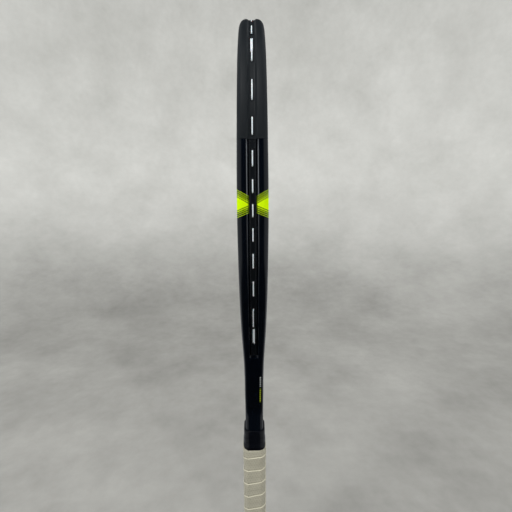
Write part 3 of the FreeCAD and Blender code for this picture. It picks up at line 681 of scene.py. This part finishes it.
# ---- handle ---------------------------------------------------------------------------------
def octagon_reach(a, hx, hy):
    """Distance from the axis to a soft-cornered eight-sided section in direction a."""
    c, s = abs(math.cos(a)), abs(math.sin(a))
    cut = hy * 0.34
    flats = [c / hx, s / hy]
    fx, fy = 1.0, 1.1
    reach = (hx - cut * 0.58) * fx + (hy - cut * 0.55) * fy
    flats.append((c * fx + s * fy) / reach)
    power = 22.0
    total = sum(f**power for f in flats)
    return total ** (-1 / power)


# half widths of the grip over x and y at each height, without the two tapes
GRIP = [(6.0, 16.4, 14.28), (11.0, 16.1, 13.9), (20.0, 15.3, 12.9), (30.0, 14.75, 12.3),
        (34.0, 14.1, 11.6), (60.0, 14.06, 11.56), (174.0, 14.06, 11.56), (180.0, 14.5, 12.0),
        (189.4, 14.5, 12.0)]


def grip_size(z):
    zs = [g[0] for g in GRIP]
    return np.interp(z, zs, [g[1] for g in GRIP]), np.interp(z, zs, [g[2] for g in GRIP])


PITCH, TAPE, SEAM_SHIFT = 17.5, 25.0, -5.9
GRIP_FOOT, GRIP_TOP, COLLAR_FOOT = 6.2, 189.8, 190.0
BASE_GRIP_THICK, TAPE_SOFT, ONCE_AROUND = 1.7, 0.42, 98.0


def overgrip_mesh():
    """Tape wound up the handle: each turn laps over the one below it and steps down at its edge."""
    around, rows = 240, 860
    lap = (TAPE - PITCH) / PITCH
    verts, faces, uvs = [], [], []
    rng = np.random.default_rng(7)
    phases = rng.uniform(0, 2 * math.pi, 12)
    for i in range(rows + 1):
        z = GRIP_FOOT + (GRIP_TOP - GRIP_FOOT) * i / rows
        hx, hy = grip_size(z)
        for j in range(around + 1):
            a = 2 * math.pi * j / around
            wobble = 0.35 * math.sin(a * 2 + phases[0] + z * 0.05)
            wobble += 0.25 * math.sin(a * 3 + phases[1] - z * 0.11)
            turns = (z + wobble + SEAM_SHIFT) / PITCH - a / (2 * math.pi)
            s = 1.0 - (turns - math.floor(turns))
            # s runs down each visible band from the upper edge of the turn, which lies on top
            edge = smooth(s / 0.035)
            if s < lap:
                over = 0.48 * edge * (1 - 0.25 * (s / lap))
            else:
                over = 0.36 * (1 - smooth((s - lap) / 0.28))
            lip = -0.22 * math.exp(-((1 - s) / 0.03)**2)
            crease = 0.05 * math.sin(a * 9 + phases[2] + turns * 1.7) * math.exp(-((s - 0.12) / 0.12)**2)
            crease += 0.035 * math.sin(a * 17 + phases[3] + s * 5)
            soft = BASE_GRIP_THICK + 0.06 + TAPE_SOFT + over + lip + crease
            reach = octagon_reach(a, hx + soft, hy + soft)
            reach -= 0.35 * smooth((z - 188.0) / 1.4)
            verts.append((reach * math.cos(a), reach * math.sin(a), z))
            along = (math.floor(turns) + a / (2 * math.pi)) * ONCE_AROUND
            uvs.append((along / 100.0, s * PITCH / 100.0))
    n = around + 1
    for i in range(rows):
        for j in range(around):
            faces.append((i * n + j, i * n + j + 1, (i + 1) * n + j + 1, (i + 1) * n + j))
    # close the ends towards the axis
    for row, up in ((0, False), (rows, True)):
        z = GRIP_TOP if up else GRIP_FOOT
        base = len(verts)
        for j in range(n):
            x, y, _ = verts[row * n + j]
            r = math.hypot(x, y)
            k = (r - 1.6) / r
            verts.append((x * k, y * k, z))
            uvs.append(uvs[row * n + j])
        for j in range(around):
            q = (row * n + j, base + j, base + j + 1, row * n + j + 1)
            faces.append(q if not up else tuple(reversed(q)))
    return mesh_object("overgrip_wound", verts, faces, uvs)


def rounded_rect(hx, hy, r, count=10):
    pts = []
    centres = ((hx - r, hy - r, 0), (r - hx, hy - r, 90), (r - hx, r - hy, 180), (hx - r, r - hy, 270))
    for cx, cy, start in centres:
        for i in range(count + 1):
            a = math.radians(start + 90 * i / count)
            pts.append((cx + r * math.cos(a), cy + r * math.sin(a)))
    return pts


def collar_mesh():
    """Ring of rubber: heights above its foot and how far it stands out from the neck."""
    outside = [(0.0, 1.1), (0.0, 1.5), (0.12, 1.9), (0.45, 2.25), (1.0, 2.55), (1.8, 2.8), (2.8, 2.97),
               (3.8, 3.03), (4.8, 3.0), (5.7, 2.88), (6.5, 2.66), (7.2, 2.38), (7.8, 2.14), (8.4, 1.98),
               (9.1, 1.93), (9.8, 1.98), (10.3, 2.07), (10.8, 2.1), (12.0, 2.1), (13.5, 2.1), (13.8, 2.05),
               (14.05, 1.88), (14.3, 1.72), (14.8, 1.66), (15.3, 1.72), (15.55, 1.88), (15.8, 2.05),
               (16.1, 2.1), (18.0, 2.08), (20.5, 2.05), (22.4, 2.07), (23.4, 2.12), (24.1, 2.08),
               (24.6, 1.93), (24.95, 1.65), (25.15, 1.25), (25.2, 0.8), (25.1, 0.5), (24.8, 0.38),
               (16.0, 0.37), (11.0, 0.4), (10.9, 1.05), (0.3, 1.05)]
    verts, faces = [], []
    n = 44
    for dz, out in outside:
        radius = 3.5 + out + 1.7 * smooth((out - 0.5) / 1.2)
        for x, y in rounded_rect(NECK_W + out, NECK_T / 2 + out, radius):
            verts.append((x, y, COLLAR_FOOT + dz))
    rings = len(outside)
    for i in range(rings):
        k = (i + 1) % rings
        for j in range(n):
            m = (j + 1) % n
            faces.append((i * n + j, i * n + m, k * n + m, k * n + j))
    obj = mesh_object("collar_rubber", verts, faces)
    tidy_normals(obj)
    return obj


# ---- materials ------------------------------------------------------------------------------
class Paint:
    """A procedural material being wired up."""

    def __init__(self, name):
        self.mat = bpy.data.materials.new(name)
        self.mat.use_nodes = True
        self.tree = self.mat.node_tree
        self.shader = self.tree.nodes["Principled BSDF"]
        self.coords = self.node("ShaderNodeTexCoord").outputs["Object"]

    def node(self, kind, **props):
        n = self.tree.nodes.new(kind)
        for key, value in props.items():
            setattr(n, key, value)
        return n

    def plug(self, socket, value):
        if isinstance(value, bpy.types.NodeSocket):
            self.tree.links.new(value, socket)
        elif value is not None:
            socket.default_value = value

    def math(self, op, a, b=None, c=None):
        n = self.node("ShaderNodeMath", operation=op)
        for socket, value in zip(n.inputs, (a, b, c)):
            self.plug(socket, value)
        return n.outputs[0]

    def axes(self, coords=None):
        n = self.node("ShaderNodeSeparateXYZ")
        self.plug(n.inputs[0], coords or self.coords)
        return n.outputs

    def both(self, a, b):
        """The product: 1 only where both are 1."""
        return self.math("MULTIPLY", a, b)

    def between(self, value, low, high):
        """1 where the value lies between the two limits, else 0."""
        return self.both(self.math("GREATER_THAN", value, low), self.math("LESS_THAN", value, high))

    def unless(self, value):
        return self.math("SUBTRACT", 1.0, value)

    def step(self, value, low, high):
        """0 below low, 1 above high, smooth between."""
        n = self.node("ShaderNodeMapRange", interpolation_type="SMOOTHSTEP")
        for socket, v in zip(n.inputs, (value, low, high, 0.0, 1.0)):
            self.plug(socket, v)
        return n.outputs[0]

    def span(self, value, low, high, to_low, to_high):
        n = self.node("ShaderNodeMapRange")
        for socket, v in zip(n.inputs, (value, low, high, to_low, to_high)):
            self.plug(socket, v)
        return n.outputs[0]

    def noise(self, scale, detail=3.0, rough=0.5):
        n = self.node("ShaderNodeTexNoise")
        self.plug(n.inputs["Vector"], self.coords)
        n.inputs["Scale"].default_value = scale
        n.inputs["Detail"].default_value = detail
        n.inputs["Roughness"].default_value = rough
        return n.outputs["Fac"]

    def mix(self, k, a, b):
        n = self.node("ShaderNodeMix", data_type="RGBA")
        self.plug(n.inputs["Factor"], k)
        self.plug(n.inputs["A"], a if isinstance(a, bpy.types.NodeSocket) else (*a, 1.0))
        self.plug(n.inputs["B"], b if isinstance(b, bpy.types.NodeSocket) else (*b, 1.0))
        return n.outputs["Result"]

    def bump(self, height, distance, strength=1.0, after=None):
        n = self.node("ShaderNodeBump")
        self.plug(n.inputs["Height"], height)
        n.inputs["Distance"].default_value = distance
        n.inputs["Strength"].default_value = strength
        self.plug(n.inputs["Normal"], after)
        return n.outputs[0]

    def done(self, color=None, rough=None, normal=None, **sockets):
        for name, value in {"Base Color": color, "Roughness": rough, "Normal": normal}.items():
            if value is not None:
                self.plug(self.shader.inputs[name], value)
        for name, value in sockets.items():
            self.plug(self.shader.inputs[name.replace("_", " ")], value)
        return self.mat


def carbon_paint():
    """Satin dark grey head, gloss black throat, and a bright wedge with a hatched fringe each side."""
    p = Paint("racket_paint")
    x, y, z = p.axes()
    ax, ay = p.math("ABSOLUTE", x), p.math("ABSOLUTE", y)
    border = p.span(ay, 0.0047, 0.0127, 0.5500, 0.5650)
    head = p.step(p.math("SUBTRACT", z, border), -0.0002, 0.0002)
    fleck = p.noise(900.0, 2.0, 0.6)
    cloud = p.noise(14.0, 4.0)
    satin = p.mix(fleck, (0.0036, 0.0052, 0.0068), (0.0062, 0.0084, 0.0106))
    gloss = p.mix(cloud, (0.0008, 0.0016, 0.0034), (0.0016, 0.0028, 0.0052))
    paint = p.mix(head, gloss, satin)
    # bright wedge: core and hatched fringe, both widening away from the channel
    start = 0.0029
    away = p.math("SUBTRACT", ay, start)
    inset = p.math("MAXIMUM", p.math("SUBTRACT", 0.1262, ax), 0.0)
    narrow = p.span(inset, 0.0, 0.0075, 1.0, 0.0)
    core = p.both(p.math("MULTIPLY_ADD", away, 0.495, 0.0004), narrow)
    reach = p.both(p.math("MULTIPLY_ADD", away, 0.478, 0.00674), narrow)
    middle = p.math("MULTIPLY_ADD", away, 0.07, 0.4926)
    off = p.math("ABSOLUTE", p.math("SUBTRACT", z, middle))
    width = p.math("MAXIMUM", p.math("SUBTRACT", reach, core), 1e-5)
    fringe = p.math("DIVIDE", p.math("SUBTRACT", off, core), width)
    rows = p.math("MULTIPLY", fringe, 4.0)
    hatch = p.math("GREATER_THAN", p.math("FRACT", rows), p.span(fringe, 0.0, 1.0, 0.46, 0.68))
    shift = p.math("MULTIPLY", p.math("FLOOR", rows), 0.5)
    dots = p.math("LESS_THAN", p.math("FRACT", p.math("MULTIPLY_ADD", ay, 1150.0, shift)), 0.62)
    hatch = p.both(hatch, p.math("MAXIMUM", dots, p.math("LESS_THAN", fringe, 0.4)))
    hatch = p.both(hatch, p.between(fringe, 0.0, 1.0))
    outer_side = p.math("GREATER_THAN", ax, 0.119)
    bright = p.both(p.math("MAXIMUM", p.math("LESS_THAN", off, core), hatch), outer_side)
    bright = p.both(bright, p.math("GREATER_THAN", ay, start))
    paint = p.mix(bright, paint, p.mix(cloud, (0.47, 0.70, 0.002), (0.53, 0.79, 0.004)))
    # painted highlight: a pale line along each rim of the channel where light catches it, fading away up and
    # down
    rim_highlight = p.both(p.step(ay, 0.0041, 0.0046), p.unless(p.step(ay, 0.0048, 0.0053)))
    fade = p.math("MULTIPLY", p.step(z, 0.430, 0.480), 0.3)
    fade = p.math("MULTIPLY_ADD", p.step(z, 0.485, 0.499), 0.7, fade)
    fade = p.both(fade, p.unless(p.step(z, 0.536, 0.552)))
    rim_highlight = p.both(p.both(rim_highlight, fade), p.math("GREATER_THAN", off, reach))
    paint = p.mix(p.both(rim_highlight, outer_side), paint, (0.095, 0.102, 0.112))
    # plain broken bars where a name would stand, on the outside of the neck at +X
    gaps = p.math("LESS_THAN", p.math("FRACT", p.math("MULTIPLY", z, 280.0)), 0.68)
    bars = p.both(p.between(y, 0.0064, 0.0079), gaps)
    facing_x = p.axes(p.node("ShaderNodeNewGeometry").outputs["Normal"])[0]
    on_right = p.both(p.math("GREATER_THAN", x, 0.02), p.math("GREATER_THAN", facing_x, 0.5))
    bars = p.both(bars, on_right)
    paint = p.mix(p.both(bars, p.between(z, 0.2860, 0.3025)), paint, (0.36, 0.38, 0.38))
    paint = p.mix(p.both(bars, p.between(z, 0.2585, 0.2830)), paint, (0.30, 0.36, 0.02))
    rough = p.math("ADD", p.math("MULTIPLY", head, 0.30), 0.13)
    rough = p.math("ADD", rough, p.span(cloud, 0.3, 0.7, -0.03, 0.05))
    wave = p.bump(p.noise(60.0, 2.0), 0.00006, 0.35)
    grain = p.bump(fleck, 0.00002, 0.25, after=wave)
    shine = p.both(p.unless(bright), p.math("SUBTRACT", 0.45, p.math("MULTIPLY", head, 0.22)))
    return p.done(paint, rough, grain, Specular_IOR_Level=shine)


def plastic(name, dark, light, rough=0.5, grain=700.0, depth=0.00004, shine=0.5):
    p = Paint(name)
    fleck = p.noise(grain, 3.0, 0.6)
    wide = p.noise(35.0, 3.0)
    color = p.mix(p.math("ADD", p.math("MULTIPLY", fleck, 0.5), p.math("MULTIPLY", wide, 0.5)), dark, light)
    r = p.span(wide, 0.3, 0.7, rough - 0.06, rough + 0.06)
    return p.done(color, r, p.bump(fleck, depth, 0.5), Specular_IOR_Level=shine)


def string_paint():
    p = Paint("string_silver")
    fine = p.noise(260.0, 3.0)
    wide = p.noise(24.0, 2.0)
    blend = p.math("ADD", p.math("MULTIPLY", fine, 0.4), p.math("MULTIPLY", wide, 0.6))
    color = p.mix(blend, (0.47, 0.52, 0.55), (0.66, 0.71, 0.74))
    return p.done(color, p.span(wide, 0.3, 0.7, 0.22, 0.34), p.bump(fine, 0.00002, 0.3), Coat_Weight=0.2,
                  Subsurface_Weight=0.08, Subsurface_Scale=0.0006)


def overgrip_paint():
    """Matt pale tape with rows of small pin holes and a fine felted surface, with a painted highlight along
    the raised edge of each turn and painted shade at the foot of each band.
    """
    p = Paint("overgrip_cream")
    uv = p.node("ShaderNodeUVMap", uv_map="wrap").outputs[0]
    u, v, _ = p.axes(uv)
    per_unit = 100.0 / 2.9      # the pin holes stand 2.9 mm apart
    rows = p.math("MULTIPLY", v, per_unit)
    shift = p.math("MULTIPLY", p.math("MODULO", p.math("FLOOR", rows), 2.0), 0.5)
    cols = p.math("ADD", p.math("MULTIPLY", u, per_unit), shift)
    du = p.math("SUBTRACT", p.math("FRACT", cols), 0.5)
    dv = p.math("SUBTRACT", p.math("FRACT", rows), 0.5)
    far = p.math("SQRT", p.math("ADD", p.both(du, du), p.both(dv, dv)))
    hole = p.unless(p.step(far, 0.09, 0.17))
    felt = p.noise(1500.0, 2.0, 0.7)
    cloud = p.noise(70.0, 4.0, 0.6)
    cream = p.mix(cloud, (0.275, 0.262, 0.205), (0.350, 0.335, 0.265))
    # painted highlight: the raised upper edge of each turn is paler, as if lit from above
    edge = p.unless(p.step(v, 0.005, 0.016))
    cream = p.mix(p.math("MULTIPLY", edge, 0.45), cream, (0.60, 0.57, 0.44))
    # painted shade: the foot of each band, where it dips under the raised edge of the turn below, is darker
    top = p.step(v, 0.163, 0.174)
    cream = p.mix(p.math("MULTIPLY", top, 0.55), cream, (0.20, 0.185, 0.125))
    color = p.mix(p.math("MULTIPLY", hole, 0.75), cream, (0.13, 0.12, 0.085))
    height = p.math("SUBTRACT", p.math("MULTIPLY", felt, 0.25), hole)
    return p.done(color, p.span(cloud, 0.3, 0.7, 0.72, 0.86), p.bump(height, 0.00016, 0.8), Sheen_Weight=0.15)


def wall_paint():
    """Mottled grey plaster, pale above, with painted shade making it dark towards the floor, and a faint
    painted glow of its own.
    """
    p = Paint("plaster")
    z = p.axes()[2]
    broad = p.noise(1.1, 5.0, 0.55)
    patch = p.noise(4.2, 4.0, 0.6)
    fine = p.noise(26.0, 6.0, 0.65)
    blend = p.math("ADD", p.math("MULTIPLY", broad, 0.4), p.math("MULTIPLY", patch, 0.4))
    blend = p.math("ADD", blend, p.math("MULTIPLY", fine, 0.2))
    blend = p.span(blend, 0.3, 0.7, 0.0, 1.0)
    high = p.mix(blend, (0.42, 0.42, 0.40), (0.59, 0.59, 0.57))
    # painted shade: the low colours, used towards the floor, are far darker than the high ones
    low = p.mix(blend, (0.075, 0.073, 0.067), (0.225, 0.222, 0.207))
    color = p.mix(p.step(z, -0.35, 0.75), low, high)
    # painted light: the plaster also glows faintly in its own colour, evening out its light and shade
    return p.done(color, 0.9, p.bump(fine, 0.004, 0.15), Specular_IOR_Level=0.1,
                  Emission_Color=color, Emission_Strength=0.16)


def paint(obj, mat, slot=None, body="racket", replaces=()):
    obj.data.materials.clear()
    obj.data.materials.append(mat)
    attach(obj, body)
    if replaces:
        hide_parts(*replaces)
    return obj


CARBON = carbon_paint()
BUMPER = plastic("bumper_nylon", (0.0046, 0.0060, 0.0074), (0.0078, 0.0098, 0.0116), 0.48, 900.0,
                 0.00005, 0.22)
GROMMET = plastic("grommet_nylon", (0.0022, 0.0030, 0.0042), (0.0045, 0.0058, 0.0075), 0.32, 500.0,
                  0.00004, 0.3)
STRING = string_paint()
CREAM = overgrip_paint()
RUBBER = plastic("collar_rubber", (0.0012, 0.0016, 0.0030), (0.0026, 0.0032, 0.0052), 0.24, 800.0,
                 0.00003, 0.3)
CAP = plastic("cap_plastic", (0.006, 0.006, 0.0065), (0.012, 0.012, 0.013), 0.32, 500.0)
VINYL = plastic("tape_vinyl", (0.012, 0.012, 0.013), (0.02, 0.02, 0.022), 0.35, 300.0)
BADGE = plastic("badge_plain", (0.03, 0.03, 0.032), (0.05, 0.05, 0.053), 0.3, 400.0)
STEEL = plastic("staple_wire", (0.45, 0.45, 0.46), (0.6, 0.6, 0.61), 0.3, 500.0)
FOAM = plastic("handle_foam", (0.55, 0.5, 0.38), (0.7, 0.65, 0.5), 0.85, 900.0, 0.0001)
PALLET = plastic("handle_pallet", (0.06, 0.06, 0.062), (0.09, 0.09, 0.092), 0.6, 600.0)
CUSHION = plastic("base_grip", (0.01, 0.01, 0.0105), (0.02, 0.02, 0.021), 0.6, 900.0, 0.0001)

# ---- build ----------------------------------------------------------------------------------
tube = skin("frame_skin", both(tube_places()), tube_section)
paint(tube, CARBON, "carbon", replaces=("frame_tube",))

bridge = skin("bridge_skin", both(bridge_places(-50.5, 70)), bridge_section)
paint(bridge, CARBON, "carbon", replaces=("throat_bridge",))

bumper = skin("bumper_skin", both(hoop_places(BUMPER_END, 90)), bumper_section)
upper_holes = [side_of(group, i, side) for side in (1, -1) for group in (TOP, CROSS)
               for i in range(len(group))]
bumper_eyes = eyelets("bumper_eyelets", [h for h in upper_holes if h.place[2] > BUMPER_END])
paint(bumper, BUMPER, "bumper", replaces=("bumper_guard",))
paint(bumper_eyes, BUMPER, "bumper", replaces=("bumper_guard",))

for side, label in ((1, "right"), (-1, "left")):
    places = strip_places()
    if side < 0:
        places = [flip(q) for q in places]
    strip = skin("strip_" + label, places, strip_section)
    holes = [side_of(CROSS, i, side) for i in range(CROSSES)] + [side_of(BOTTOM, i, side) for i in (6, 7)]
    eyes = eyelets("eyelets_" + label, [h for h in holes if h.place[2] < BUMPER_END])
    dots = studs("studs_" + label, side)
    for piece in (strip, eyes, dots):
        paint(piece, GROMMET, "grommets", replaces=("grommet_strip_" + label,))

throat = skin("throat_strip", both(bridge_places(-58.8, 40)), strip_section)
throat_eyes = eyelets("throat_eyelets", [side_of(BOTTOM, i, s) for s in (1, -1) for i in range(6)])
for piece in (throat, throat_eyes):
    paint(piece, GROMMET, "grommets", replaces=("throat_grommet_strip",))

mains = cord_mesh("mains_woven", main_string(), STRING_R)
crosses = cord_mesh("crosses_woven", cross_string(), STRING_R)
paint(mains, STRING, "string", replaces=("main_string",))
paint(crosses, STRING, "string", replaces=("cross_string",))

grip = overgrip_mesh()
paint(grip, CREAM, "overgrip", replaces=("overgrip",))
collar = collar_mesh()
paint(collar, RUBBER, "collar", body="collar", replaces=("rubber_collar",))

CAD_LOOKS = {"butt_cap": CAP, "butt_cap_badge": BADGE, "butt_cap_staples": STEEL,
             "base_grip_staple": STEEL, "handle_foam_left": FOAM, "handle_foam_right": FOAM,
             "handle_pallet": PALLET, "base_grip": CUSHION, "base_grip_tape": VINYL,
             "overgrip_tape": VINYL}
for name, mat in CAD_LOOKS.items():
    materials = NODES[name].data.materials
    materials.clear()
    materials.append(mat)


# ---- surroundings ---------------------------------------------------------------------------
def backdrop():
    """Floor that curves up into a round wall, all one surface."""
    flat, cove = 0.9, 1.6       # metres
    drop = 0.4                  # millimetres from the butt down to the floor
    profile = [(0.0, 0.0), (flat / 2, 0.0), (flat, 0.0)]
    for i in range(1, 13):
        a = math.pi / 2 * i / 12
        profile.append((flat + cove * math.sin(a), cove - cove * math.cos(a)))
    profile += [(flat + cove, z) for z in (2.1, 2.6, 3.2)]
    verts, faces = [], []
    n = 96
    for r, z in profile:
        for j in range(n):
            a = 2 * math.pi * j / n
            reach = 1000 * max(r, 0.001)
            verts.append((reach * math.cos(a), reach * math.sin(a), 1000 * z - drop))
    for i in range(len(profile) - 1):
        for j in range(n):
            k = (j + 1) % n
            faces.append((i * n + j, i * n + k, (i + 1) * n + k, (i + 1) * n + j))
    return mesh_object("backdrop", verts, faces)


wall = backdrop()
wall.data.materials.append(wall_paint())
wall.visible_glossy = False


def area(name, place, target, size, power, glossy=True):
    """Lamp panel that lights the scene and is not seen itself."""
    light = bpy.data.lights.new(name, "AREA")
    light.shape = "RECTANGLE"
    light.size, light.size_y = size
    light.energy = power
    obj = bpy.data.objects.new(name, light)
    obj.visible_glossy = glossy
    obj.visible_camera = False
    bpy.context.scene.collection.objects.link(obj)
    obj.location = place
    obj.rotation_euler = (Vector(target) - Vector(place)).to_track_quat("-Z", "Y").to_euler()
    return obj


grip.visible_glossy = False
area("overhead", (0.3, 0.2, 2.6), (0, 0, 0.4), (2.2, 2.2), 58.0, glossy=False)
area("left_side", (0.9, -1.5, 1.1), (0, 0, 0.45), (0.8, 1.6), 26.0, glossy=False)
area("right_side", (0.9, 1.5, 1.0), (0, 0, 0.45), (0.8, 1.6), 17.0, glossy=False)
area("glint", (1.0, -0.5, 2.3), (0, 0, 0.4), (0.25, 0.25), 8.0)

world = bpy.data.worlds.new("studio")
bpy.context.scene.world = world
world.use_nodes = True
tree = world.node_tree
# what shiny surfaces see: pale low down to the left and right, dark elsewhere
way = tree.nodes.new("ShaderNodeTexCoord")
parts = tree.nodes.new("ShaderNodeSeparateXYZ")
tree.links.new(way.outputs["Generated"], parts.inputs[0])


def world_math(operation, *values):
    node = tree.nodes.new("ShaderNodeMath")
    node.operation = operation
    for socket, value in zip(node.inputs, values):
        if isinstance(value, bpy.types.NodeSocket):
            tree.links.new(value, socket)
        else:
            socket.default_value = value
    return node.outputs[0]


def world_ramp(value, *numbers):
    """Smooth ramp of a value: from low, from high, to low, to high."""
    node = tree.nodes.new("ShaderNodeMapRange")
    node.interpolation_type = "SMOOTHSTEP"
    tree.links.new(value, node.inputs[0])
    for socket, number in zip(list(node.inputs)[1:5], numbers):
        socket.default_value = number
    return node.outputs[0]


sideways = world_ramp(world_math("ABSOLUTE", parts.outputs["Y"]), 0.12, 0.55, 0.0, 1.0)
not_below = world_ramp(parts.outputs["Z"], -0.76, -0.56, 0.05, 1.0)
glow = world_math("MULTIPLY_ADD", world_math("MULTIPLY", sideways, not_below), 0.5, 0.004)
sky = tree.nodes["Background"]
sky.inputs["Color"].default_value = (0.93, 0.97, 1.0, 1.0)
tree.links.new(glow, sky.inputs["Strength"])
bpy.context.scene.view_settings.view_transform = "Standard"

# ---- camera ---------------------------------------------------------------------------------
camera_data = bpy.data.cameras.new("camera")
camera_data.lens = 26.0
camera_data.sensor_width = 36.0
camera = bpy.data.objects.new("camera", camera_data)
bpy.context.scene.collection.objects.link(camera)
camera.location = (0.438, 0.0, 0.492)
aim = Vector((0.0, 0.0034, 0.4320))
look = (aim - camera.location).to_track_quat("-Z", "Y").to_matrix().to_4x4()
roll = Matrix.Rotation(math.radians(-0.36), 4, "Z")
camera.matrix_world = Matrix.Translation(camera.location) @ look @ roll
bpy.context.scene.camera = camera
